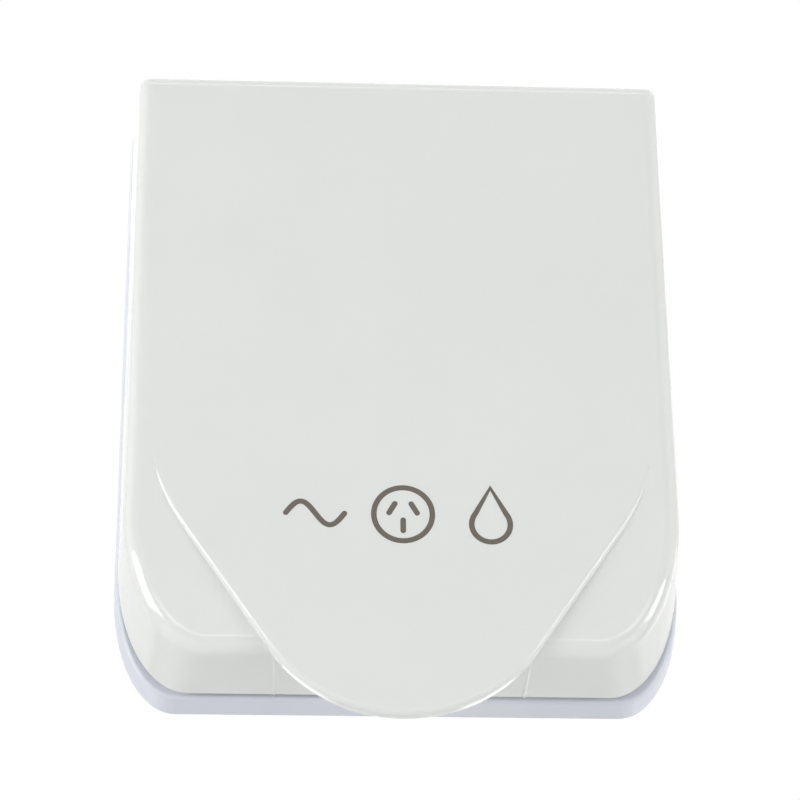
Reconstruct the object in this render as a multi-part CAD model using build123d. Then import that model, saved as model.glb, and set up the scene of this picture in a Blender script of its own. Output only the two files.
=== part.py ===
from build123d import *
import os
from math import cos, pi, radians, sin

# Splash-proof caravan power outlet: a three-pin wall socket under a sprung flap lid.
# X runs to the right, Z up and Y into the wall. The wall's face is Y = 0 and the origin is
# the middle of the flange's back, so the lid is on the -Y side and the wiring on the +Y side.
# All sizes are millimetres.

# Flange of the base frame
FLANGE_WIDTH = 99.4
FLANGE_HEIGHT = 117.4
FLANGE_DEPTH = 5.6
FLANGE_DRAFT = 0.6
FLANGE_PLATE = 2.6
FLANGE_SKIRT = 2.4
FLANGE_EDGE_R = 0.8
FLANGE_TOP_R = 4.0
FLANGE_CORNER_WIDTH = 11.2
FLANGE_CORNER_HEIGHT = 22.3
LEAST_CORNER_R = 0.6
QUARTER_TURN = 90.0

# Lid moulding: each draft is how far that wall leans in from the rim to the face, and the growth
# is how much larger the lower corners are at the face
LID_FACE_DEPTH = 24.5
LID_GAP = 1.3
LID_SIDE_SETBACK = 0.8
LID_END_SETBACK = 1.1
LID_SIDE_DRAFT = 1.4
LID_TOP_DRAFT = 0.2
LID_BOTTOM_DRAFT = 1.6
LID_CORNER_WIDTH = 12.7
LID_CORNER_HEIGHT = 24.0
LID_CORNER_GROWTH = 4.0
LID_WALL = 2.2
LID_ROOF = 2.4
LID_EDGE_R = 3.0

# Sloping lower corners of the lid, and the tongue that stands out between them
FACET_HEIGHT = 36.0
FACET_DROP = 1.6
TONGUE_REACH = 12.0
TONGUE_TIP_R = 27.5
TONGUE_LEAN = 34.0
TONGUE_SHOULDER_R = 38.0
TONGUE_MARGIN = 0.1
TONGUE_THICKNESS = 2.8
TONGUE_EDGE_R = 0.9
TONGUE_BACK_R = 0.7
SEAM_X = 21.5
SEAM_R = 0.35
SEAM_PROUD = 0.14
SEAM_FLARE_R = 1.1
SEAM_FLARE_LENGTH = 4.0

# Hinge at the lid's top edge
HINGE_FORWARD = 14.0
HINGE_BELOW_TOP = 7.7
PIN_R = 1.5
PIN_RUNNING_PLAY = 0.05
PIN_GRIP_PLAY = 0.02
PIN_END = 1.0
EAR_R = 3.8
EAR_WIDTH = 5.5
EAR_FOOT_UP = 0.6
EAR_FOOT_DOWN = 9.0
LUG_R = 4.0
LUG_WIDTH = 5.0
SLOT_INNER_X = 18.0
SLOT_AHEAD = 4.5
SIDE_PLAY = 0.5

# Torsion springs on the hinge pins
WIRE_R = 0.45
COIL_PLAY = 0.45
COIL_TURNS = 5
COIL_PITCH = 1.05
LID_LEG = 6.6
LEG_HOLE_PLAY = 0.3
LEG_BITE = 1.6
LEG_SEAT_T = 1.6
LEG_SEAT_REACH = 3.4
LEG_SEAT_GAP = 0.3

# Socket well and the collar round it
WELL_Z = -4.0
WELL_R = 29.0
COLLAR_WALL = 2.5
COLLAR_DEPTH = 18.0
COLLAR_EDGE_R = 0.6
LEDGE_R = 24.5
LEDGE_T = 2.4
DRAIN_R = 1.6
LIP_HEIGHT = 3.4
LIP_T = 1.6
LIP_GAP = 0.6
LIP_BELOW_HINGE = 9.0
LIP_NOTCH = 10.0

# Seal in the lid that closes on the collar
SEAL_WIDTH = 4.0
SEAL_CLEARANCE = 0.3
SEAL_SIDE_PLAY = 0.15
SEAL_EDGE_R = 1.0
CHANNEL_RIB = 1.4
CHANNEL_LAND = 1.0
CHANNEL_HEIGHT = 1.7
LID_RIB_T = 1.4
LID_RIB_HEIGHT = 2.2
LID_RIB_OFFSET = 13.0

# Screw holes for the wall
MOUNT_FROM_SIDE = 10.95
MOUNT_FROM_END = 14.2
MOUNT_HOLE_R = 2.2
MOUNT_HEAD_R = 3.6
MOUNT_HEAD_SINK = 1.2
MOUNT_BOSS_R = 3.4
GASKET_PLAY = 0.3

# Socket insert: pin slots as in the flat-pin 10 A standard
SOCKET_SINK = 5.0
SEAT_DEPTH = 1.0
FACE_FLANGE = 2.5
FACE_WALL = 3.0
FACE_PLAY = 0.3
FACE_EDGE_R = 1.0
LIVE_PIN_CIRCLE_R = 7.92
EARTH_PIN_CIRCLE_R = 10.31
LIVE_PIN_TILT = 30.0
PIN_SLOT_WIDTH = 2.2
PIN_SLOT_HEIGHT = 7.2
PIN_SLOT_LEAD = 0.7

# Contact carrier
NOSE_R = 20.0
NOSE_PLAY = 0.2
CARRIER_PLATE = 3.0
CARRIER_WIDTH = 40.0
CARRIER_HEIGHT = 40.0
CARRIER_CORNER_R = 5.0
CARRIER_DEPTH = 11.5
CARRIER_EAR_R = 4.0
CARRIER_SCREW_REACH = 34.5
CARRIER_SCREW_ANGLE = 40.0
CARRIER_BOSS_R = 3.6
BARRIER_T = 1.6
BARRIER_HEIGHT = 7.0
POCKET_PLAY = 0.3

# Contact clips, tails and terminals
CLIP_THICKNESS = 0.7
CLIP_WIDTH = 6.4
CLIP_LENGTH = 13.0
CLIP_MOUTH = 3.0
CLIP_PINCH = 1.4
CLIP_ROOT = 2.4
CLIP_FLARE = 3.0
TAIL_WIDTH = 5.0
TAIL_BITE = 4.2
TERMINAL_SIZE = 7.0
TERMINAL_DEPTH = 10.0
WIRE_HOLE_R = 1.6
WIRE_HOLE_BEHIND_TAIL = 0.8
METAL_PLAY = 0.05

# Screws
SMALL_SCREW_R = 1.5
SMALL_HEAD_R = 2.7
SMALL_HEAD_T = 1.9
SMALL_SCREW_LENGTH = 5.6
HOUSING_SCREW_LENGTH = 9.0
DRIVE_WIDTH = 0.8
DRIVE_DEPTH = 1.1
SCREW_PLAY = 0.05

# Rear housing behind the wall
HOUSING_WIDTH = 67.0
HOUSING_HEIGHT = 76.0
HOUSING_BACK = 36.0
HOUSING_WALL = 2.2
HOUSING_DRAFT = 1.0
HOUSING_CORNER_R = 6.0
HOUSING_EDGE_R = 2.0
SPIGOT_BACK = 3.0
HOUSING_SEAL_T = 1.2
COLUMN_R = 4.4
COLUMN_FLOOR = 4.0
COLUMN_PLAY = 0.2
HEAD_ROOM = 0.4

# Cable gland in the back of the rear housing
GLAND_ABOVE_WELL = 23.0
GLAND_PAD_R = 13.0
GLAND_PAD_T = 1.0
GLAND_STEM_R = 8.0
GLAND_STEM_WALL = 2.8
GLAND_PLAY = 0.1
GLAND_FLATS = 22.0
GLAND_HEX_T = 5.0
GLAND_SPIGOT = 9.0
GLAND_CUP_WALL = 1.4
GLAND_SEAL_BORE_R = 4.25
GLAND_NUT_WALL = 2.4
GLAND_NUT_MOUTH_R = 4.75
GLAND_NUT_LENGTH = 15.0
GLAND_NUT_END_R = 3.0
LOCK_NUT_FLATS = 20.0
LOCK_NUT_T = 4.0

# Places worked out from the sizes above
LID_RIM_Y = -(FLANGE_DEPTH + LID_GAP)
LID_FACE_Y = -LID_FACE_DEPTH
LID_ROOF_Y = LID_FACE_Y + LID_ROOF
LID_RIM_Z = -FLANGE_HEIGHT / 2 + LID_END_SETBACK
LID_BOTTOM_Z = LID_RIM_Z + LID_BOTTOM_DRAFT
FLANGE_INNER_Y = -(FLANGE_DEPTH - FLANGE_PLATE)
FOLD_Z = LID_BOTTOM_Z + FACET_HEIGHT
TONGUE_BACK_Y = LID_FACE_Y + TONGUE_THICKNESS
HINGE_Y = -HINGE_FORWARD
HINGE_Z = FLANGE_HEIGHT / 2 - HINGE_BELOW_TOP
HOOD_R = LID_RIM_Y - HINGE_Y
COIL_R = PIN_R + COIL_PLAY + WIRE_R
COIL_LENGTH = COIL_TURNS * COIL_PITCH
EAR_X = SLOT_INNER_X + SIDE_PLAY
COIL_X = EAR_X + EAR_WIDTH + SIDE_PLAY + WIRE_R
SLOT_OUTER_X = COIL_X + COIL_LENGTH + WIRE_R + 2 * SIDE_PLAY
COIL_RISE = COIL_PITCH / (2 * pi * COIL_R)
LEG_Z = HINGE_Z - COIL_R
SEAT_Y = -SEAT_DEPTH
SEAT_BACK_Y = SEAT_Y + FACE_FLANGE
SOCKET_FACE_Y = -SOCKET_SINK
NOSE_Y = SOCKET_FACE_Y + FACE_WALL
SEAL_R = WELL_R + COLLAR_WALL / 2
SEAL_SEAT_Y = LID_ROOF_Y + CHANNEL_LAND
SEAL_FACE_Y = -(COLLAR_DEPTH + SEAL_CLEARANCE)
CHANNEL_IN_R = SEAL_R - SEAL_WIDTH / 2 - SEAL_SIDE_PLAY
CHANNEL_OUT_R = SEAL_R + SEAL_WIDTH / 2 + SEAL_SIDE_PLAY
CARRIER_BACK_Y = SEAT_BACK_Y + CARRIER_PLATE + CARRIER_DEPTH
CLIP_Y = NOSE_Y + POCKET_PLAY
CLIP_BACK_Y = CLIP_Y + CLIP_LENGTH
TAIL_END_Y = CARRIER_BACK_Y + TAIL_BITE
WIRE_HOLE_Y = TAIL_END_Y + WIRE_HOLE_BEHIND_TAIL + WIRE_HOLE_R
TERMINAL_BACK_Y = CARRIER_BACK_Y + TERMINAL_DEPTH
HOUSING_FRONT_Y = SPIGOT_BACK + HOUSING_SEAL_T
COLUMN_SEAT_Y = SPIGOT_BACK + COLUMN_FLOOR
COLUMN_X = HOUSING_WIDTH / 2 - HOUSING_WALL - COLUMN_PLAY - COLUMN_R
COLUMN_Z = HOUSING_HEIGHT / 2 - HOUSING_WALL - COLUMN_PLAY - COLUMN_R
HOUSING_INNER_Y = HOUSING_BACK - HOUSING_WALL
GLAND_Z = WELL_Z + GLAND_ABOVE_WELL
GLAND_SEAT_Y = HOUSING_BACK + GLAND_PAD_T
GLAND_HEX_Y = GLAND_SEAT_Y + GLAND_HEX_T
GLAND_TIP_Y = GLAND_HEX_Y + GLAND_SPIGOT
GLAND_BORE_R = GLAND_STEM_R - GLAND_STEM_WALL
LOCK_NUT_Y = HOUSING_INNER_Y - LOCK_NUT_T
GLAND_STEM_Y = LOCK_NUT_Y - GLAND_STEM_WALL
MOUNT_X = FLANGE_WIDTH / 2 - MOUNT_FROM_SIDE
MOUNT_Z = FLANGE_HEIGHT / 2 - MOUNT_FROM_END
MOUNT_POINTS = [(side * MOUNT_X, level * MOUNT_Z) for side in (-1, 1) for level in (-1, 1)]
COLUMN_POINTS = [
    (side * COLUMN_X, WELL_Z + level * COLUMN_Z) for side in (-1, 1) for level in (-1, 1)
]
CARRIER_POINTS = [
    (
        side * CARRIER_SCREW_REACH * cos(radians(CARRIER_SCREW_ANGLE)),
        WELL_Z + side * CARRIER_SCREW_REACH * sin(radians(CARRIER_SCREW_ANGLE)),
    )
    for side in (-1, 1)
]
LIVE_PIN_X = LIVE_PIN_CIRCLE_R * cos(radians(LIVE_PIN_TILT))
LIVE_PIN_Z = LIVE_PIN_CIRCLE_R * sin(radians(LIVE_PIN_TILT))
POLES = {
    "active": Location((-LIVE_PIN_X, WELL_Z + LIVE_PIN_Z, 0), (0, 0, -LIVE_PIN_TILT)),
    "neutral": Location((LIVE_PIN_X, WELL_Z + LIVE_PIN_Z, 0), (0, 0, LIVE_PIN_TILT)),
    "earth": Location((0, WELL_Z - EARTH_PIN_CIRCLE_R, 0)),
}


# Sketch helpers

def facing(y):
    """Sketch plane at depth y seen from the front: sketch x is X and sketch y is Z."""
    return Plane(origin=(0, y, 0), x_dir=(1, 0, 0), z_dir=(0, -1, 0))


def slab(sketch, front, back):
    """A front-view sketch made solid between two depths."""
    return extrude(facing(back) * sketch, amount=back - front)


def disc(radius, front, back):
    return slab(Pos(0, WELL_Z) * Circle(radius), front, back)


def ring(outer_r, inner_r, front, back):
    return slab(Pos(0, WELL_Z) * (Circle(outer_r) - Circle(inner_r)), front, back)


def rods(points, radius, front, back):
    return slab(Sketch() + [Pos(x, z) * Circle(radius) for x, z in points], front, back)


def across(sketch, left, right):
    """A side-view sketch, drawn in Y and Z, made solid between two X positions."""
    plane = Plane(origin=(left, 0, 0), x_dir=(0, 1, 0), z_dir=(1, 0, 0))
    return extrude(plane * sketch, amount=right - left)


def gland_slab(sketch, front, back):
    """A sketch centred on the cable gland, made solid between two depths."""
    return slab(Pos(0, GLAND_Z) * sketch, front, back)


def corner(radius, inset):
    return max(radius - inset, LEAST_CORNER_R)


def tapered_panel(half_width, bottom, top, low_width, low_height, top_r):
    """Upright panel whose lower corners are quarter ellipses and whose upper ones are round."""
    low_x = half_width - low_width
    low_z = bottom + low_height
    right = [
        Line((0, bottom), (low_x, bottom)),
        EllipticalCenterArc(
            (low_x, low_z), low_width, low_height, start_angle=-QUARTER_TURN, arc_size=QUARTER_TURN
        ),
        Line((half_width, low_z), (half_width, top - top_r)),
        CenterArc((half_width - top_r, top - top_r), top_r, 0, QUARTER_TURN),
        Line((half_width - top_r, top), (0, top)),
    ]
    left = [mirror(edge, Plane.YZ) for edge in right]
    return make_face(right + left)


def flange_panel(inset):
    half_height = FLANGE_HEIGHT / 2 - inset
    return tapered_panel(
        FLANGE_WIDTH / 2 - inset,
        -half_height,
        half_height,
        FLANGE_CORNER_WIDTH - inset,
        FLANGE_CORNER_HEIGHT - inset,
        corner(FLANGE_TOP_R, inset),
    )


def lid_panel(y, inset):
    """Outline of the lid at depth y, moved in by inset."""
    run = (LID_RIM_Y - y) / (LID_RIM_Y - LID_FACE_Y)
    side_in = inset + run * LID_SIDE_DRAFT
    corner_in = side_in - run * LID_CORNER_GROWTH
    return tapered_panel(
        FLANGE_WIDTH / 2 - LID_SIDE_SETBACK - side_in,
        LID_RIM_Z + inset + run * LID_BOTTOM_DRAFT,
        FLANGE_HEIGHT / 2 - LID_END_SETBACK - inset - run * LID_TOP_DRAFT,
        LID_CORNER_WIDTH - corner_in,
        LID_CORNER_HEIGHT - corner_in,
        corner(FLANGE_TOP_R, LID_SIDE_SETBACK + side_in),
    )


def housing_panel(inset):
    return Pos(0, WELL_Z) * RectangleRounded(
        HOUSING_WIDTH - 2 * inset, HOUSING_HEIGHT - 2 * inset, corner(HOUSING_CORNER_R, inset)
    )


def at_hinge(sketch):
    return Pos(HINGE_Y, HINGE_Z) * sketch


# Lid

def lid_block(inset, front, back):
    ends = [facing(y) * lid_panel(y, inset) for y in (back, front)]
    return loft(ends, ruled=True)


def ahead_of_facets(setback):
    """Space in front of the sloping lower corners, moved back by setback."""
    top_y = LID_FACE_Y + setback
    low_y = top_y + 2 * FACET_DROP
    low_z = FOLD_Z - 2 * FACET_HEIGHT
    clear_y = LID_FACE_Y - LID_EDGE_R
    wedge = Polyline((top_y, FOLD_Z), (low_y, low_z), (clear_y, low_z), (clear_y, FOLD_Z), close=True)
    return across(make_face(wedge), -FLANGE_WIDTH, FLANGE_WIDTH)


def behind_hood(radius):
    """Space above and behind the hinge that the lid's rounded top corner leaves free."""
    room = 2 * HINGE_FORWARD
    quarter = Pos(room / 2, room / 2) * Rectangle(room, room) - Circle(radius)
    return across(at_hinge(quarter), -FLANGE_WIDTH, FLANGE_WIDTH)


def lid_outside():
    block = lid_block(0, LID_FACE_Y, LID_RIM_Y) - ahead_of_facets(0)
    front = block.faces().sort_by(Axis.Y)[:2]
    rounded = front.edges().filter_by(lambda edge: abs(edge.center().Z - FOLD_Z) > FACET_DROP)
    return fillet(rounded, LID_EDGE_R) - behind_hood(HOOD_R)


def tongue_panel():
    """Full width at the top, round shoulders, straight flanks and a round tip."""
    lean = radians(TONGUE_LEAN)
    side_x = FLANGE_WIDTH / 2 - LID_SIDE_SETBACK - LID_SIDE_DRAFT - LID_EDGE_R - TONGUE_MARGIN
    tip_z = LID_BOTTOM_Z - TONGUE_REACH + TONGUE_TIP_R
    flank_low = Vector(TONGUE_TIP_R * cos(lean), tip_z - TONGUE_TIP_R * sin(lean))
    flank_high_x = side_x - TONGUE_SHOULDER_R * (1 - cos(lean))
    flank_length = (flank_high_x - flank_low.X) / sin(lean)
    flank_high = flank_low + Vector(sin(lean), cos(lean)) * flank_length
    shoulder = Vector(side_x - TONGUE_SHOULDER_R, flank_high.Y + TONGUE_SHOULDER_R * sin(lean))
    top = shoulder.Y + TONGUE_THICKNESS
    right = [
        Line((0, top), (side_x, top)),
        Line((side_x, top), (side_x, shoulder.Y)),
        CenterArc(shoulder, TONGUE_SHOULDER_R, 0, -TONGUE_LEAN),
        Line(flank_high, flank_low),
        CenterArc((0, tip_z), TONGUE_TIP_R, -TONGUE_LEAN, TONGUE_LEAN - QUARTER_TURN),
    ]
    left = [mirror(edge, Plane.YZ) for edge in right]
    return make_face(right + left)


def tongue():
    plate = slab(tongue_panel(), LID_FACE_Y, TONGUE_BACK_Y)
    top = plate.faces().sort_by(Axis.Z)[-1]
    inside = [edge.center() for edge in top.edges()]

    def free(edge):
        return all((edge.center() - point).length > TONGUE_EDGE_R for point in inside)

    plate = fillet(plate.faces().sort_by(Axis.Y)[0].edges().filter_by(free), TONGUE_EDGE_R)
    return fillet(plate.faces().sort_by(Axis.Y)[-1].edges().filter_by(free), TONGUE_BACK_R)


def mould_seams():
    """Fine ridges down the bottom wall, left by the ends of the tool's slide behind the tongue."""
    slope = LID_BOTTOM_DRAFT / (LID_RIM_Y - LID_FACE_Y)
    bites = [
        (TONGUE_BACK_Y - TONGUE_THICKNESS / 2, SEAM_FLARE_R),
        (TONGUE_BACK_Y + SEAM_FLARE_LENGTH, SEAM_R),
        (LID_RIM_Y, SEAM_R),
    ]
    seams = Part()
    for x in (-SEAM_X, SEAM_X):
        rounds = []
        for y, radius in bites:
            z = LID_RIM_Z + slope * (LID_RIM_Y - y) + radius - SEAM_PROUD
            rounds.append(facing(y) * Pos(x, z) * Circle(radius))
        seams += loft(rounds, ruled=True)
    return seams


def lid_cavity():
    room = lid_block(LID_WALL, LID_ROOF_Y, LID_RIM_Y + LID_GAP)
    return room - ahead_of_facets(LID_ROOF) - behind_hood(HOOD_R - LID_WALL)


def both_sides(left, right):
    """An X span and its mirror image."""
    return [(left, right), (-right, -left)]


def hinge_lugs():
    web_y = LID_ROOF_Y - LID_ROOF / 2 - HINGE_Y
    web_top = HINGE_BELOW_TOP - LID_END_SETBACK - LID_WALL / 2
    web = Pos(web_y / 2, (web_top - LUG_R) / 2) * Rectangle(-web_y, web_top + LUG_R)
    profile = at_hinge(Circle(LUG_R) + web)
    spans = both_sides(SLOT_INNER_X - LUG_WIDTH, SLOT_INNER_X)
    spans += both_sides(SLOT_OUTER_X, SLOT_OUTER_X + LUG_WIDTH)
    return Part() + [across(profile, left, right) for left, right in spans]


def hinge_slots():
    """Openings in the lid's top corner for the base's ears and the springs."""
    back = LID_RIM_Y + LID_GAP - HINGE_Y
    top = 2 * HINGE_BELOW_TOP
    window = Pos((back - SLOT_AHEAD) / 2, top / 2 - PIN_R) * Rectangle(back + SLOT_AHEAD, top)
    spans = both_sides(SLOT_INNER_X, SLOT_OUTER_X)
    return Part() + [across(at_hinge(window), left, right) for left, right in spans]


def spring_seats():
    """Ledges inside the lid that the springs' front legs press down on."""
    top = LEG_Z - WIRE_R - LEG_SEAT_GAP
    front = LID_ROOF_Y - LID_ROOF / 2
    back = LID_ROOF_Y + LEG_SEAT_REACH
    profile = Pos((front + back) / 2, top - LEG_SEAT_T / 2) * Rectangle(back - front, LEG_SEAT_T)
    spans = both_sides(COIL_X + COIL_LENGTH / 2, SLOT_OUTER_X + LUG_WIDTH / 2)
    return Part() + [across(profile, left, right) for left, right in spans]


def seal_channel():
    start = LID_ROOF_Y - LID_ROOF / 2
    outer = CHANNEL_OUT_R + CHANNEL_RIB
    inner = CHANNEL_IN_R - CHANNEL_RIB
    tip = SEAL_SEAT_Y + CHANNEL_HEIGHT
    channel = ring(outer, inner, start, tip)
    return channel - ring(CHANNEL_OUT_R, CHANNEL_IN_R, SEAL_SEAT_Y, tip)


def stiffening_ribs():
    """Ribs that run from the seal channel to the side and bottom walls."""
    bars = Sketch()
    for level in (-1, 1):
        bars += Pos(0, WELL_Z + level * LID_RIB_OFFSET) * Rectangle(FLANGE_WIDTH, LID_RIB_T)
        upright = Rectangle(LID_RIB_T, FLANGE_HEIGHT)
        bars += Pos(level * LID_RIB_OFFSET, WELL_Z - FLANGE_HEIGHT / 2) * upright
    bars -= Pos(0, WELL_Z) * Circle(CHANNEL_OUT_R)
    return slab(bars, LID_ROOF_Y - LID_ROOF / 2, LID_ROOF_Y + LID_RIB_HEIGHT)


def make_lid():
    outside = lid_outside()
    lid = outside + tongue() + mould_seams() - lid_cavity()
    inside = hinge_lugs() + spring_seats() + seal_channel() + stiffening_ribs()
    lid += inside & lid_block(LID_WALL / 2, LID_FACE_Y, LID_RIM_Y)
    bore = at_hinge(Circle(PIN_R + PIN_RUNNING_PLAY))
    reach = SLOT_OUTER_X + LUG_WIDTH + 2 * PIN_END
    return lid - hinge_slots() - across(bore, -reach, reach)


def make_lid_seal():
    seal = ring(SEAL_R + SEAL_WIDTH / 2, SEAL_R - SEAL_WIDTH / 2, SEAL_SEAT_Y, SEAL_FACE_Y)
    return fillet(seal.faces().sort_by(Axis.Y)[-1].edges(), SEAL_EDGE_R)


# Hinge pins and springs

def make_hinge_pins():
    spans = both_sides(SLOT_INNER_X - LUG_WIDTH - PIN_END, SLOT_OUTER_X + LUG_WIDTH + PIN_END)
    pins = [across(at_hinge(Circle(PIN_R)), left, right) for left, right in spans]
    return Compound(children=pins)


def make_right_spring():
    """Coil round the pin: one leg runs back into the flange, one runs forward under the lid's face."""
    coil = Helix(COIL_PITCH, COIL_LENGTH, COIL_R, lefthand=True)
    base_leg = Line(coil @ 0 - (coil % 0) * (HINGE_FORWARD - FLANGE_DEPTH + LEG_BITE), coil @ 0)
    lid_leg = Line(coil @ 1, coil @ 1 + (coil % 1) * LID_LEG)
    path = Wire([base_leg.edge(), coil.edge(), lid_leg.edge()])
    wire = sweep(Plane(origin=path @ 0, z_dir=path % 0) * Circle(WIRE_R), path=path, is_frenet=True)
    stand = Plane(origin=(COIL_X, HINGE_Y, HINGE_Z), x_dir=(0, 0, -1), z_dir=(1, 0, 0))
    return stand * wire


# Base frame

def drip_lip():
    """Upstand just inside the lid's rim, open at the hinge and at a drain notch."""
    front = -(FLANGE_DEPTH + LIP_HEIGHT)
    inset = LID_WALL + LIP_GAP
    wall = lid_panel(front, inset) - lid_panel(front, inset + LIP_T)
    top = HINGE_Z - LIP_BELOW_HINGE
    wall -= Pos(0, top + FLANGE_HEIGHT / 2) * Rectangle(FLANGE_WIDTH, FLANGE_HEIGHT)
    wall -= Pos(0, -FLANGE_HEIGHT / 2) * Rectangle(LIP_NOTCH, FACET_HEIGHT)
    return slab(wall, front, FLANGE_INNER_Y - FLANGE_PLATE / 2)


def hinge_ears():
    foot_y = FLANGE_INNER_Y - FLANGE_PLATE / 2 - HINGE_Y
    foot = Line((foot_y, EAR_FOOT_UP), (foot_y, -EAR_FOOT_DOWN))
    profile = make_hull(Circle(EAR_R).edges() + foot.edges())
    profile -= Circle(PIN_R + PIN_GRIP_PLAY)
    spans = both_sides(EAR_X, EAR_X + EAR_WIDTH)
    return Part() + [across(at_hinge(profile), left, right) for left, right in spans]


def leg_holes():
    """Holes in the flange that take the springs' back legs."""
    x = COIL_X - COIL_RISE * (HINGE_FORWARD - FLANGE_DEPTH)
    points = [(x, LEG_Z), (-x, LEG_Z)]
    return rods(points, WIRE_R + LEG_HOLE_PLAY, -FLANGE_DEPTH - LIP_HEIGHT, FLANGE_INNER_Y)


def make_base_frame():
    ends = [facing(0) * flange_panel(0), facing(-FLANGE_DEPTH) * flange_panel(FLANGE_DRAFT)]
    flange = loft(ends, ruled=True)
    flange = fillet(flange.faces().sort_by(Axis.Y)[0].edges(), FLANGE_EDGE_R)
    frame = flange - slab(flange_panel(FLANGE_DRAFT + FLANGE_SKIRT), FLANGE_INNER_Y, 0)
    start = FLANGE_INNER_Y - FLANGE_PLATE / 2
    collar = disc(WELL_R + COLLAR_WALL, -COLLAR_DEPTH, SEAT_BACK_Y)
    frame += fillet(collar.faces().sort_by(Axis.Y)[0].edges(), COLLAR_EDGE_R)
    frame += slab(housing_panel(0) - housing_panel(HOUSING_WALL), start, SPIGOT_BACK)
    frame += rods(MOUNT_POINTS, MOUNT_BOSS_R, start, 0)
    frame += rods(CARRIER_POINTS, CARRIER_BOSS_R, start, SEAT_BACK_Y)
    frame += rods(COLUMN_POINTS, COLUMN_R, start, SPIGOT_BACK)
    frame += drip_lip() + hinge_ears()
    frame -= disc(WELL_R, -COLLAR_DEPTH, SEAT_BACK_Y)
    frame += ring(WELL_R + COLLAR_WALL / 2, LEDGE_R, SEAT_Y - LEDGE_T, SEAT_Y)
    frame -= rods(MOUNT_POINTS, MOUNT_HOLE_R, -FLANGE_DEPTH, 0)
    frame -= rods(MOUNT_POINTS, MOUNT_HEAD_R, -FLANGE_DEPTH, MOUNT_HEAD_SINK - FLANGE_DEPTH)
    frame -= rods(CARRIER_POINTS, SMALL_SCREW_R + SCREW_PLAY, start, SEAT_BACK_Y)
    frame -= rods(COLUMN_POINTS, SMALL_SCREW_R + SCREW_PLAY, start, SPIGOT_BACK)
    drain = Pos(-(FLANGE_DEPTH + DRAIN_R), WELL_Z - WELL_R) * Rectangle(2 * DRAIN_R, 4 * COLLAR_WALL)
    return frame - across(drain, -DRAIN_R, DRAIN_R) - leg_holes()


def make_wall_gasket():
    sheet = flange_panel(FLANGE_DRAFT + FLANGE_SKIRT + GASKET_PLAY) - housing_panel(-GASKET_PLAY)
    sheet -= [Pos(x, z) * Circle(MOUNT_BOSS_R + GASKET_PLAY) for x, z in MOUNT_POINTS]
    return slab(sheet, FLANGE_INNER_Y, 0)


# Socket insert, carrier and contacts

def pole_cuts(width, height, front, back):
    cuts = [place * Rectangle(width, height) for place in POLES.values()]
    return slab(Sketch() + cuts, front, back)


def make_socket_face():
    boss = disc(LEDGE_R - FACE_PLAY, SOCKET_FACE_Y, SEAT_Y)
    face = fillet(boss.faces().sort_by(Axis.Y)[0].edges(), FACE_EDGE_R)
    face += disc(WELL_R - FACE_PLAY, SEAT_Y, SEAT_BACK_Y)
    face -= disc(NOSE_R + NOSE_PLAY, NOSE_Y, SEAT_BACK_Y)
    face -= pole_cuts(PIN_SLOT_WIDTH, PIN_SLOT_HEIGHT, SOCKET_FACE_Y, NOSE_Y)
    mouths = face.faces().sort_by(Axis.Y)[0].inner_wires()
    return chamfer([edge for mouth in mouths for edge in mouth.edges()], PIN_SLOT_LEAD)


def make_contact_carrier():
    plate_back = SEAT_BACK_Y + CARRIER_PLATE
    ears = SlotCenterToCenter(2 * CARRIER_SCREW_REACH, 2 * CARRIER_EAR_R)
    ears = Pos(0, WELL_Z) * Rot(0, 0, CARRIER_SCREW_ANGLE) * ears
    carrier = disc(NOSE_R, NOSE_Y, SEAT_BACK_Y) + disc(SEAL_R, SEAT_BACK_Y, plate_back)
    carrier += slab(ears, SEAT_BACK_Y, plate_back)
    block = Pos(0, WELL_Z) * RectangleRounded(CARRIER_WIDTH, CARRIER_HEIGHT, CARRIER_CORNER_R)
    carrier += slab(block, plate_back, CARRIER_BACK_Y)
    fence = Pos(0, WELL_Z + CARRIER_HEIGHT / 4) * Rectangle(BARRIER_T, CARRIER_HEIGHT / 2)
    fence_z = WELL_Z + (LIVE_PIN_Z - EARTH_PIN_CIRCLE_R) / 2
    fence += Pos(0, fence_z) * Rectangle(CARRIER_WIDTH, BARRIER_T)
    carrier += slab(fence, CARRIER_BACK_Y, CARRIER_BACK_Y + BARRIER_HEIGHT)
    pocket_width = CLIP_MOUTH + 2 * (CLIP_THICKNESS + POCKET_PLAY)
    carrier -= pole_cuts(pocket_width, CLIP_WIDTH + 2 * POCKET_PLAY, NOSE_Y, CLIP_BACK_Y)
    tail = CLIP_THICKNESS + 2 * METAL_PLAY
    carrier -= pole_cuts(tail, TAIL_WIDTH + 2 * METAL_PLAY, CLIP_BACK_Y, CARRIER_BACK_Y)
    return carrier - rods(CARRIER_POINTS, SMALL_SCREW_R + SCREW_PLAY, SEAT_BACK_Y, plate_back)


def at_pole(name, shape):
    """Places a shape whose local z runs to the front and whose local y lies along the pin slot."""
    return facing(0).location * POLES[name] * shape


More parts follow.
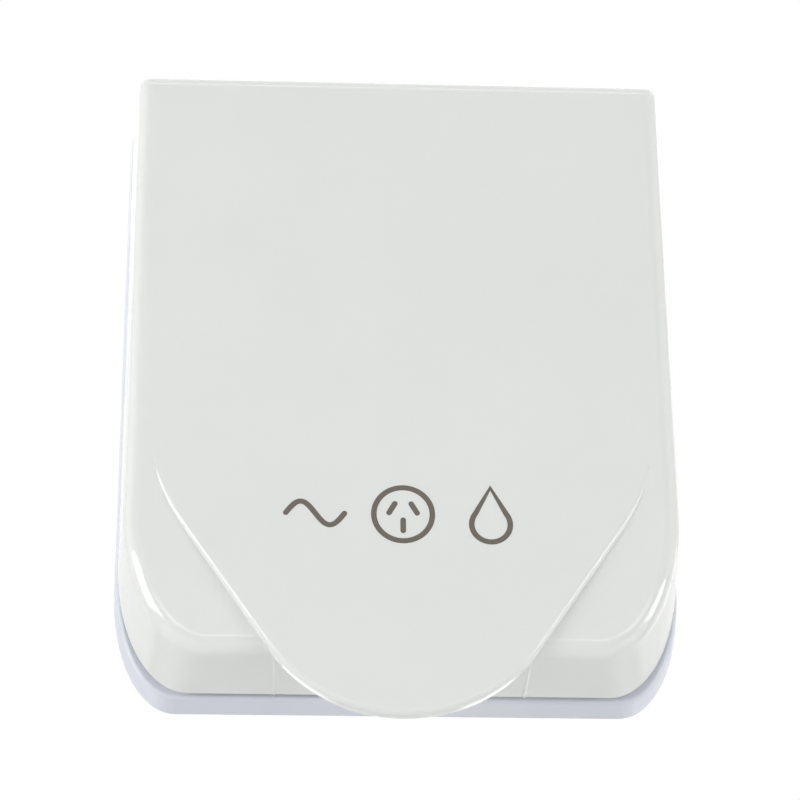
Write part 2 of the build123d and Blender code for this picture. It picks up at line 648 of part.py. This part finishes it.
def make_contact(name):
    """Sprung clip that grips a flat pin, with a flared mouth and a tail to the terminal."""
    half = [
        (CLIP_MOUTH / 2, CLIP_Y),
        (CLIP_MOUTH / 2 + CLIP_THICKNESS, CLIP_Y),
        (CLIP_PINCH / 2 + CLIP_THICKNESS, CLIP_Y + CLIP_FLARE),
        (CLIP_ROOT / 2 + CLIP_THICKNESS, CLIP_BACK_Y),
    ]
    inner = [
        (CLIP_ROOT / 2, CLIP_BACK_Y - CLIP_THICKNESS),
        (CLIP_PINCH / 2, CLIP_Y + CLIP_FLARE),
    ]
    right = [(x, -depth) for x, depth in half]
    right_inner = [(x, -depth) for x, depth in inner]
    left = [(-x, z) for x, z in reversed(right)]
    left_inner = [(-x, z) for x, z in reversed(right_inner)]
    outline = make_face(Polyline(*right, *left, *left_inner, *right_inner, close=True))
    clip = extrude(Plane.XZ * outline, amount=CLIP_WIDTH / 2, both=True)
    tail_length = TAIL_END_Y - CLIP_BACK_Y
    tail = Pos(0, 0, -CLIP_BACK_Y - tail_length / 2) * Box(CLIP_THICKNESS, TAIL_WIDTH, tail_length)
    return at_pole(name, clip + tail)


def make_terminal(name):
    """Tunnel block: the tail enters from the front, the wire along the slot and the screw from the back."""
    middle = -(CARRIER_BACK_Y + TERMINAL_BACK_Y) / 2
    block = Pos(0, 0, middle) * Box(TERMINAL_SIZE, TERMINAL_SIZE, TERMINAL_DEPTH)
    block -= Pos(0, 0, -WIRE_HOLE_Y) * Rot(90, 0, 0) * Cylinder(WIRE_HOLE_R, TERMINAL_SIZE)
    slit = Box(CLIP_THICKNESS + 2 * METAL_PLAY, TAIL_WIDTH + 2 * METAL_PLAY, 2 * TAIL_BITE + 2 * METAL_PLAY)
    block -= Pos(0, 0, -CARRIER_BACK_Y) * slit
    thread = TERMINAL_BACK_Y - WIRE_HOLE_Y
    block -= Pos(0, 0, -WIRE_HOLE_Y - thread / 2) * Cylinder(SMALL_SCREW_R + SCREW_PLAY, thread)
    return at_pole(name, block)


# Screws

def screw(x, z, seat, length, drives):
    """Pan-head screw put in from the back, with its head on a seat at that depth."""
    shank = slab(Pos(x, z) * Circle(SMALL_SCREW_R), seat - length, seat)
    head = slab(Pos(x, z) * Circle(SMALL_HEAD_R), seat, seat + SMALL_HEAD_T)
    rim = head.faces().sort_by(Axis.Y)[-1].edges()
    head = fillet(rim, SMALL_HEAD_T / 3)
    for turn in drives:
        groove = Pos(x, z) * Rot(0, 0, turn) * Rectangle(DRIVE_WIDTH, 2 * SMALL_HEAD_R - 2 * DRIVE_WIDTH)
        head -= slab(groove, seat + SMALL_HEAD_T - DRIVE_DEPTH, seat + SMALL_HEAD_T)
    return shank + head


def make_terminal_screws():
    length = TERMINAL_BACK_Y - WIRE_HOLE_Y
    places = [place.position for place in POLES.values()]
    return Compound(children=[screw(at.X, at.Y, TERMINAL_BACK_Y, length, (0,)) for at in places])


def make_carrier_screws():
    seat = SEAT_BACK_Y + CARRIER_PLATE
    drives = (0, QUARTER_TURN)
    return Compound(children=[screw(x, z, seat, SMALL_SCREW_LENGTH, drives) for x, z in CARRIER_POINTS])


def make_housing_screws():
    length = HOUSING_SCREW_LENGTH
    drives = (0, QUARTER_TURN)
    return Compound(children=[screw(x, z, COLUMN_SEAT_Y, length, drives) for x, z in COLUMN_POINTS])


# Rear housing and cable gland

def make_rear_housing():
    ends = [facing(HOUSING_FRONT_Y) * housing_panel(0), facing(HOUSING_BACK) * housing_panel(HOUSING_DRAFT)]
    outside = loft(ends, ruled=True)
    outside = fillet(outside.faces().sort_by(Axis.Y)[-1].edges(), HOUSING_EDGE_R)
    room = loft(
        [
            facing(HOUSING_FRONT_Y) * housing_panel(HOUSING_WALL),
            facing(HOUSING_INNER_Y) * housing_panel(HOUSING_WALL + HOUSING_DRAFT),
        ],
        ruled=True,
    )
    housing = outside - room
    housing += gland_slab(Circle(GLAND_PAD_R), HOUSING_INNER_Y, GLAND_SEAT_Y)
    housing += rods(COLUMN_POINTS, COLUMN_R, SPIGOT_BACK, HOUSING_BACK - HOUSING_WALL / 2)
    housing -= rods(COLUMN_POINTS, SMALL_HEAD_R + HEAD_ROOM, COLUMN_SEAT_Y, HOUSING_BACK)
    housing -= rods(COLUMN_POINTS, SMALL_SCREW_R + SCREW_PLAY, SPIGOT_BACK, COLUMN_SEAT_Y)
    return housing - gland_slab(Circle(GLAND_STEM_R + GLAND_PLAY), HOUSING_INNER_Y, GLAND_SEAT_Y)


def make_housing_seal():
    return slab(housing_panel(0) - housing_panel(HOUSING_WALL), SPIGOT_BACK, HOUSING_FRONT_Y)


def hexagon(flats):
    return RegularPolygon(flats / 2, 6, major_radius=False)


def make_gland_body():
    body = gland_slab(Circle(GLAND_STEM_R), GLAND_STEM_Y, GLAND_TIP_Y)
    body += gland_slab(hexagon(GLAND_FLATS), GLAND_SEAT_Y, GLAND_HEX_Y)
    body -= gland_slab(Circle(GLAND_STEM_R - GLAND_CUP_WALL), GLAND_HEX_Y, GLAND_TIP_Y)
    return body - gland_slab(Circle(GLAND_BORE_R), GLAND_STEM_Y, GLAND_HEX_Y)


def make_gland_seal():
    section = Circle(GLAND_STEM_R - GLAND_CUP_WALL - GLAND_PLAY) - Circle(GLAND_SEAL_BORE_R)
    return gland_slab(section, GLAND_HEX_Y, GLAND_TIP_Y)


def make_gland_nut():
    front = GLAND_HEX_Y + GLAND_PLAY
    back = front + GLAND_NUT_LENGTH
    nut = gland_slab(Circle(GLAND_STEM_R + GLAND_PLAY + GLAND_NUT_WALL), front, back)
    nut = fillet(nut.faces().sort_by(Axis.Y)[-1].edges(), GLAND_NUT_END_R)
    nut &= gland_slab(hexagon(GLAND_FLATS - GLAND_NUT_WALL), front, back)
    nut -= gland_slab(Circle(GLAND_STEM_R + GLAND_PLAY), front, GLAND_TIP_Y + GLAND_PLAY)
    return nut - gland_slab(Circle(GLAND_NUT_MOUTH_R), front, back)


def make_gland_lock_nut():
    section = hexagon(LOCK_NUT_FLATS) - Circle(GLAND_STEM_R + GLAND_PLAY)
    return gland_slab(section, LOCK_NUT_Y, HOUSING_INNER_Y)


def make_nodes():
    spring = make_right_spring()
    nodes = {
        "base_frame": make_base_frame(),
        "lid": make_lid(),
        "lid_seal": make_lid_seal(),
        "hinge_pins": make_hinge_pins(),
        "lid_spring_right": spring,
        "lid_spring_left": mirror(spring, Plane.YZ),
        "wall_gasket": make_wall_gasket(),
        "socket_face": make_socket_face(),
        "contact_carrier": make_contact_carrier(),
        "terminal_screws": make_terminal_screws(),
        "carrier_screws": make_carrier_screws(),
        "rear_housing": make_rear_housing(),
        "housing_seal": make_housing_seal(),
        "housing_screws": make_housing_screws(),
        "gland_body": make_gland_body(),
        "gland_seal": make_gland_seal(),
        "gland_nut": make_gland_nut(),
        "gland_lock_nut": make_gland_lock_nut(),
    }
    for pole in POLES:
        nodes[pole + "_contact"] = make_contact(pole)
        nodes[pole + "_terminal"] = make_terminal(pole)
    return nodes


os.makedirs("parts", exist_ok=True)
for node, shape in make_nodes().items():
    export_step(shape, "parts/" + node + ".step")
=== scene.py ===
from math import cos, pi, radians, sin

import bmesh
import bpy
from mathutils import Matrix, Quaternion, Vector


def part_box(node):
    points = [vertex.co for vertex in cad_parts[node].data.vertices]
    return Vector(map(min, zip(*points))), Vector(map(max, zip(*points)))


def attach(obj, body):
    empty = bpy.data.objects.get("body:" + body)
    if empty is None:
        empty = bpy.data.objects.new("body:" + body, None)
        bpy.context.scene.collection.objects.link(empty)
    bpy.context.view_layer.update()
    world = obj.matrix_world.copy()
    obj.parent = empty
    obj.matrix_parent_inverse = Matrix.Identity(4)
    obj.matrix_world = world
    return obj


# Splash-proof caravan power outlet: finishes, printed signs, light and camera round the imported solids.
# Metres, with X to the right, Y into the wall and Z up.

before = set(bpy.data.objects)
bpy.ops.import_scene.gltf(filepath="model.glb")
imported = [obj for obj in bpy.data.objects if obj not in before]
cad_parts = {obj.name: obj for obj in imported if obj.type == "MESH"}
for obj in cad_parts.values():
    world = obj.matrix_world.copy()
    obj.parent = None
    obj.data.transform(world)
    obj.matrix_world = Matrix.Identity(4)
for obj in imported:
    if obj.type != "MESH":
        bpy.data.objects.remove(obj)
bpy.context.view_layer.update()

MM = 0.001
scene = bpy.context.scene


# Shader helpers

def tint(red, green, blue):
    """A screen colour from 0 to 255 as the linear colour that a shader takes."""
    parts = [value / 255 for value in (red, green, blue)]
    linear = [part / 12.92 if part <= 0.04045 else ((part + 0.055) / 1.055) ** 2.4 for part in parts]
    return (*linear, 1.0)


class Value:
    """An output socket. Arithmetic on it adds Math nodes to its graph."""

    def __init__(self, graph, socket):
        self.graph = graph
        self.socket = socket

    def math(self, operation, first, second):
        return self.graph.node("ShaderNodeMath", {"operation": operation}, {0: first, 1: second})

    def __add__(self, other):
        return self.math("ADD", self, other)

    def __sub__(self, other):
        return self.math("SUBTRACT", self, other)

    def __mul__(self, other):
        return self.math("MULTIPLY", self, other)

    def __radd__(self, other):
        return self.math("ADD", other, self)

    def __rsub__(self, other):
        return self.math("SUBTRACT", other, self)

    def __rmul__(self, other):
        return self.math("MULTIPLY", other, self)

    def larger(self, other):
        return self.math("MAXIMUM", self, other)


class Graph:
    """A node tree that is built by calls."""

    def __init__(self, tree):
        self.tree = tree

    def plug(self, socket, value):
        if isinstance(value, Value):
            self.tree.links.new(value.socket, socket)
        else:
            socket.default_value = value

    def node(self, kind, settings, sockets, output=0):
        made = self.tree.nodes.new(kind)
        for name, value in settings.items():
            setattr(made, name, value)
        for key, value in sockets.items():
            self.plug(made.inputs[key], value)
        return Value(self, made.outputs[output])


class Look(Graph):
    """A material with one Principled shader, whose textures lie on the object's own coordinates."""

    def __init__(self, name, **constants):
        self.material = bpy.data.materials.new(name)
        self.material.use_nodes = True
        super().__init__(self.material.node_tree)
        self.shader = self.tree.nodes["Principled BSDF"]
        self.place = self.node("ShaderNodeTexCoord", {}, {}, "Object")
        self.set(**constants)

    def set(self, **inputs):
        for name, value in inputs.items():
            self.plug(self.shader.inputs[name.replace("_", " ")], value)

    def stretched(self, x, y, z):
        """The object's own coordinates times x, y and z: a share below 1 draws a texture out that way."""
        return self.node("ShaderNodeVectorMath", {"operation": "MULTIPLY"}, {0: self.place, 1: (x, y, z)})

    def noise(self, size, detail, place=None):
        """Smooth noise from 0 to 1 with features of that size in metres."""
        sockets = {"Vector": place or self.place, "Scale": 1 / size, "Detail": detail}
        return self.node("ShaderNodeTexNoise", {}, sockets, "Fac")

    def cells(self, size):
        """Distance from the middle of cells of that size in metres, as a share of the size."""
        return self.node("ShaderNodeTexVoronoi", {}, {"Vector": self.place, "Scale": 1 / size}, "Distance")

    def between(self, value, low, high):
        """0 where value is below low, 1 where it is above high."""
        return self.node("ShaderNodeMapRange", {"clamp": True}, {0: value, 1: low, 2: high})

    def blend(self, amount, first, second):
        """The first colour where amount is 0, the second where it is 1."""
        settings = {"data_type": "RGBA", "clamp_factor": True}
        return self.node("ShaderNodeMix", settings, {0: amount, 6: first, 7: second}, 2)

    def relief(self, height, depth):
        """Surface normal for a height from 0 to 1 of that depth in metres."""
        sockets = {"Strength": 1.0, "Distance": depth, "Height": height}
        self.set(Normal=self.node("ShaderNodeBump", {}, sockets))


# Finishes

def gloss_moulding(name, pale, deep, roughness, peel):
    """Polished white moulding: faint cloudiness, a slight orange peel and a few fine specks."""
    look = Look(name, Specular_IOR_Level=0.6)
    cloud = look.between(look.noise(28 * MM, 3), 0.3, 0.7)
    speck = 1 - look.between(look.cells(5.5 * MM), 0.012, 0.02)
    look.set(Base_Color=look.blend(0.12 * speck, look.blend(cloud, pale, deep), tint(150, 148, 144)))
    look.set(Roughness=roughness + 0.05 * look.noise(9 * MM, 4) + 0.1 * speck)
    look.relief(look.noise(1.6 * MM, 1), peel * MM)
    return look


def satin_moulding(name, pale, deep, grain, depth, roughness):
    """Moulding from a spark-eroded tool: an even fine grain, with faint flow streaks."""
    look = Look(name, Specular_IOR_Level=0.45)
    streaks = look.noise(7 * MM, 3, look.stretched(1, 0.3, 0.3))
    grains = look.noise(grain * MM, 2)
    look.set(Base_Color=look.blend(0.7 * streaks + 0.3 * grains, pale, deep))
    look.set(Roughness=roughness + 0.16 * grains)
    look.relief(grains, depth * MM)
    return look


def rubber():
    """Moulded rubber: dark and matt, with a pale dusty bloom."""
    look = Look("seal rubber", Specular_IOR_Level=0.35)
    dust = look.between(look.noise(4 * MM, 5), 0.5, 0.75)
    look.set(Base_Color=look.blend(0.5 * dust, tint(34, 34, 36), tint(74, 73, 71)))
    look.set(Roughness=0.52 + 0.25 * dust)
    look.relief(look.noise(0.35 * MM, 3), 0.012 * MM)
    return look


def foam():
    """Closed-cell foam: cut bubbles of about half a millimetre, with painted shade darkening each bubble's
    sunken middle.
    """
    look = Look("gasket foam", Specular_IOR_Level=0.25)
    bubble_height_and_painted_shade = look.between(look.cells(0.55 * MM), 0.15, 0.6)
    # Painted shade: the colour darkens towards each bubble's sunken middle, where the relief below is
    # lowest.
    look.set(Base_Color=look.blend(bubble_height_and_painted_shade, tint(36, 36, 38), tint(66, 66, 68)))
    look.set(Roughness=0.8 + 0.15 * bubble_height_and_painted_shade)
    look.relief(bubble_height_and_painted_shade, 0.12 * MM)
    return look


def brass():
    """Stamped brass strip: fine rolling lines, with darker tarnish in patches."""
    look = Look("stamped brass", Metallic=1.0)
    rolled = look.noise(0.5 * MM, 3, look.stretched(1, 0.06, 1))
    tarnish = look.between(look.noise(3.5 * MM, 4), 0.5, 0.8)
    bright = look.blend(rolled, tint(226, 190, 118), tint(206, 166, 92))
    look.set(Base_Color=look.blend(0.6 * tarnish, bright, tint(150, 108, 58)))
    look.set(Roughness=0.22 + 0.12 * rolled + 0.18 * tarnish)
    look.relief(rolled, 0.004 * MM)
    return look


def plated_steel():
    """Zinc plating: a fine crystal pattern, a little duller in patches."""
    look = Look("zinc plated steel", Metallic=1.0)
    crystal = look.cells(0.32 * MM)
    dull = look.between(look.noise(2.4 * MM, 4), 0.45, 0.75)
    bright = look.blend(crystal, tint(206, 207, 208), tint(182, 185, 190))
    look.set(Base_Color=look.blend(0.5 * dull, bright, tint(158, 158, 156)))
    look.set(Roughness=0.24 + 0.1 * crystal + 0.16 * dull)
    look.relief(look.noise(0.22 * MM, 2), 0.003 * MM)
    return look


def ink():
    """Pad-printed ink: matt, with a slightly uneven layer."""
    look = Look("sign ink", Specular_IOR_Level=0.4)
    layer = look.noise(0.5 * MM, 4)
    look.set(Base_Color=look.blend(layer, tint(92, 87, 80), tint(112, 106, 98)))
    look.set(Roughness=0.38 + 0.2 * layer)
    look.relief(layer, 0.006 * MM)
    return look


def background_rays(graph):
    """1 for the rays that show the background: from the camera, a glossy surface or a clear one."""
    kinds = ("Is Camera Ray", "Is Glossy Ray", "Is Transmission Ray")
    seen, mirrored, through = [graph.node("ShaderNodeLightPath", {}, {}, kind) for kind in kinds]
    return seen.larger(mirrored).larger(through)


def floor_paint():
    """Pale paint, lifted towards the white background where it is seen."""
    look = Look("pale floor", Specular_IOR_Level=0.2, Emission_Strength=0.42)
    cloud = look.noise(0.25, 3)
    paint = look.blend(cloud, tint(240, 240, 240), tint(232, 232, 233))
    look.set(Base_Color=paint, Emission_Color=look.blend(background_rays(look), tint(0, 0, 0), paint))
    look.set(Roughness=0.7 + 0.1 * cloud)
    return look


looks = {
    "lid_plastic": gloss_moulding(
        "warm white lid", tint(229, 231, 228), tint(227, 229, 226),
        roughness=0.07, peel=0.004,
    ),
    "base_plastic": gloss_moulding(
        "cool white base", tint(217, 220, 227), tint(212, 216, 224),
        roughness=0.36, peel=0.005,
    ),
    "insert_plastic": satin_moulding(
        "satin white insert", tint(233, 234, 232), tint(226, 228, 226),
        grain=0.35, depth=0.006, roughness=0.28,
    ),
    "carrier_plastic": satin_moulding(
        "dark carrier", tint(50, 50, 53), tint(38, 38, 41),
        grain=0.5, depth=0.012, roughness=0.42,
    ),
    "housing_plastic": satin_moulding(
        "pale grey housing", tint(214, 216, 219), tint(204, 207, 211),
        grain=0.6, depth=0.02, roughness=0.4,
    ),
    "gland_plastic": satin_moulding(
        "grey gland", tint(142, 144, 147), tint(128, 130, 134),
        grain=0.45, depth=0.012, roughness=0.34,
    ),
    "seal_rubber": rubber(),
    "gasket_foam": foam(),
    "contact_brass": brass(),
    "steel": plated_steel(),
}
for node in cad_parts.values():
    for slot in node.material_slots:
        slot.material = looks[slot.material.name].material


# Printed signs on the lid: plain marks for alternating current, a three-pin socket and splash water

INK_LAYER = 0.03 * MM
INK_STROKE = 0.95 * MM
SIGN_HEIGHT = -31.5 * MM
SIGN_STEP = 15.0 * MM
CAP_STEPS = 8

WAVE_WIDTH = 10.0 * MM
WAVE_RISE = 2.2 * MM
WAVE_STEPS = 40

RING_R = 5.0 * MM
RING_STEPS = 64
PIN_LENGTH = 2.0 * MM
PIN_LEAN = 30
PIN_SIDE = 1.9 * MM
PIN_RISE = 1.1 * MM
EARTH_PIN_DROP = 2.1 * MM

DROP_R = 3.3 * MM
DROP_SHOULDER = 35
DROP_BELOW = 1.7 * MM
DROP_TIP = 5.2 * MM
DROP_STEPS = 40


def ribbon(mesh, points, closed):
    """A flat stroke along points in the face's own X and Z, with round ends where it is open."""
    half = INK_STROKE / 2
    count = len(points)
    rails = []
    for index, point in enumerate(points):
        after = points[(index + 1) % count] if closed or index + 1 < count else point
        before = points[index - 1] if closed or index else point
        along = (after - before).normalized()
        side = Vector((-along.y, along.x)) * half
        rails.append((point + side, point - side))
    pairs = [[mesh.verts.new((at.x, 0, at.y)) for at in rail] for rail in rails]
    for index in range(count if closed else count - 1):
        start = pairs[index]
        end = pairs[(index + 1) % count]
        mesh.faces.new((start[0], start[1], end[1], end[0]))
    if closed:
        return
    for pair, point, other in ((pairs[0], points[0], points[1]), (pairs[-1], points[-1], points[-2])):
        out = (point - other).normalized()
        side = pair[0].co.xz - point
        turns = [pi * step / CAP_STEPS for step in range(1, CAP_STEPS)]
        cap = [point + side * cos(turn) + out * half * sin(turn) for turn in turns]
        mesh.faces.new([pair[0]] + [mesh.verts.new((at.x, 0, at.y)) for at in cap] + [pair[1]])


def sign(name, strokes, x):
    """One printed sign from its strokes, each a list of points and whether it closes on itself."""
    mesh = bmesh.new()
    for points, closed in strokes:
        ribbon(mesh, points, closed)
    layer = bmesh.ops.extrude_face_region(mesh, geom=mesh.faces[:])
    raised = [item for item in layer["geom"] if isinstance(item, bmesh.types.BMVert)]
    bmesh.ops.translate(mesh, verts=raised, vec=(0, -INK_LAYER, 0))
    bmesh.ops.recalc_face_normals(mesh, faces=mesh.faces[:])
    data = bpy.data.meshes.new(name)
    mesh.to_mesh(data)
    mesh.free()
    data.materials.append(ink_look.material)
    piece = bpy.data.objects.new(name, data)
    scene.collection.objects.link(piece)
    piece.location = (x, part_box("lid")[0].y, SIGN_HEIGHT)
    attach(piece, "lid")


def arc(radius, start, end, steps):
    """Points on a circle about the sign's middle, between two angles in degrees."""
    turns = [radians(start + (end - start) * step / steps) for step in range(steps + 1)]
    return [Vector((radius * cos(turn), radius * sin(turn))) for turn in turns]


def pin(x, z, lean):
    """The two ends of a pin's stroke, whose top leans to the right by that many degrees."""
    half = Vector((sin(radians(lean)), cos(radians(lean)))) * PIN_LENGTH / 2
    return [Vector((x, z)) - half, Vector((x, z)) + half]


ink_look = ink()
wave_turns = [step / WAVE_STEPS for step in range(WAVE_STEPS + 1)]
wave = [Vector((WAVE_WIDTH * (turn - 0.5), WAVE_RISE * sin(2 * pi * turn))) for turn in wave_turns]
ring = arc(RING_R, 0, 360, RING_STEPS)[:-1]
pins = [
    pin(-PIN_SIDE, PIN_RISE, PIN_LEAN),
    pin(PIN_SIDE, PIN_RISE, -PIN_LEAN),
    pin(0, -EARTH_PIN_DROP, 0),
]
bowl = arc(DROP_R, -180 - DROP_SHOULDER, DROP_SHOULDER, DROP_STEPS)
drop = [at - Vector((0, DROP_BELOW)) for at in bowl] + [Vector((0, DROP_TIP))]
sign("sign_current", [(wave, False)], -SIGN_STEP)
sign("sign_socket", [(ring, True)] + [(ends, False) for ends in pins], 0)
sign("sign_splash", [(drop, True)], SIGN_STEP)


# Floor, background and light

FLOOR_DROP = 0.45
FLOOR_REACH = 3.0
AMBIENT = 0.12

floor_data = bpy.data.meshes.new("floor")
floor_mesh = bmesh.new()
bmesh.ops.create_grid(floor_mesh, x_segments=1, y_segments=1, size=FLOOR_REACH)
floor_mesh.to_mesh(floor_data)
floor_mesh.free()
floor_data.materials.append(floor_paint().material)
floor = bpy.data.objects.new("floor", floor_data)
floor.location = (0, 0, -FLOOR_DROP)
scene.collection.objects.link(floor)

scene.world = bpy.data.worlds.new("white studio")
scene.world.use_nodes = True
sky = Graph(scene.world.node_tree)
backdrop = sky.tree.nodes["Background"]
backdrop.inputs["Color"].default_value = (1, 1, 1, 1)
sky.plug(backdrop.inputs["Strength"], AMBIENT + (1 - AMBIENT) * background_rays(sky))


def softbox(name, place, size, radiance):
    """A rectangular light that faces the object, as bright as radiance times the white background."""
    light = bpy.data.lights.new(name, "AREA")
    light.shape = "RECTANGLE"
    light.size, light.size_y = size
    light.energy = radiance * pi * size[0] * size[1]
    lamp = bpy.data.objects.new(name, light)
    lamp.location = place
    lamp.rotation_euler = Vector(place).to_track_quat("Z", "Y").to_euler()
    lamp.visible_camera = False
    scene.collection.objects.link(lamp)


softbox("overhead panel", (0.0, 0.2, 1.9), (5.0, 5.0), 0.5)
softbox("top softbox", (0.05, -0.55, 0.93), (1.1, 0.09), 3.4)
softbox("left softbox", (-0.93, -0.58, -0.04), (0.8, 0.42), 5.6)
softbox("left reflector", (-1.0, -0.17, 0.47), (0.9, 0.9), 0.76)
softbox("right softbox", (0.95, -0.55, -0.08), (0.54, 0.34), 5.2)
softbox("right low reflector", (0.62, -0.3, -0.38), (0.5, 0.4), 1.0)
softbox("right high reflector", (0.93, -0.3, 0.53), (0.85, 0.85), 0.75)
softbox("front strip", (0.05, -0.93, 0.09), (0.8, 0.14), 1.9)
softbox("back low softbox", (0.0, 1.2, -0.2), (1.4, 0.36), 1.6)
softbox("back right softbox", (0.95, 0.6, 0.0), (0.7, 0.7), 0.9)


# Camera at the photograph's place, below the lid and looking up

TARGET = Vector((0.00035, -0.012, -0.003))
DISTANCE = 0.551
AZIMUTH = radians(-3.17)
ELEVATION = radians(-27.58)
ROLL = radians(-0.545)
SENSOR_MM = 36.0
FOCAL_MM = 139.0
NEAR_CLIP = 0.01

back = Vector((sin(AZIMUTH) * cos(ELEVATION), -cos(AZIMUTH) * cos(ELEVATION), sin(ELEVATION)))
lens = bpy.data.cameras.new("camera")
lens.sensor_width = SENSOR_MM
lens.lens = FOCAL_MM
lens.clip_start = NEAR_CLIP
camera = bpy.data.objects.new("camera", lens)
camera.rotation_mode = "QUATERNION"
camera.rotation_quaternion = back.to_track_quat("Z", "Y") @ Quaternion((0, 0, 1), ROLL)
camera.location = TARGET + back * DISTANCE
scene.collection.objects.link(camera)
scene.camera = camera
scene.view_settings.view_transform = "Standard"
